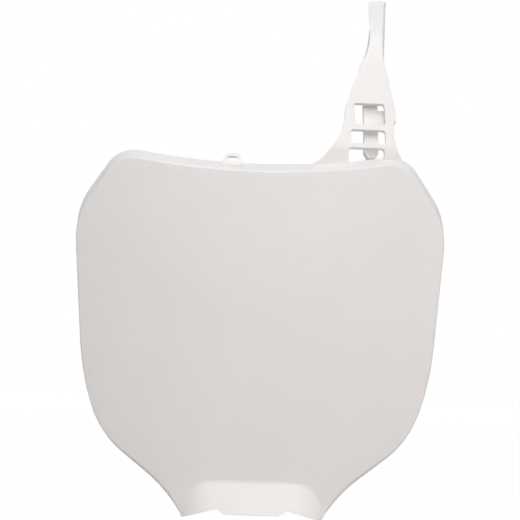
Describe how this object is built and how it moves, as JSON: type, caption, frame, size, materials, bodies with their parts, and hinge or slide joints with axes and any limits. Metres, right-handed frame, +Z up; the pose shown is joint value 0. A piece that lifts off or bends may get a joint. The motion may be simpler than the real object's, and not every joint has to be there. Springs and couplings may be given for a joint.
{
  "type": "racing number board",
  "caption": "Front number board for an off-road motorbike: a crowned shell with a folded rim, a kicked-out lower lip, a tie eyelet and a ladder strap that goes round the handlebar.",
  "frame": {"origin": "crown of the outer face, in the middle of the number field, on the board's plane of symmetry", "axes": "+X to the right as the board is read, +Y back to the rider, +Z up to the handlebar"},
  "size_m": [0.2498, 0.0801, 0.355],
  "materials": {
    "white_plastic": "satin"
  },
  "bodies": {
    "root": {"number_board": "white_plastic"}
  },
  "joints": []
}
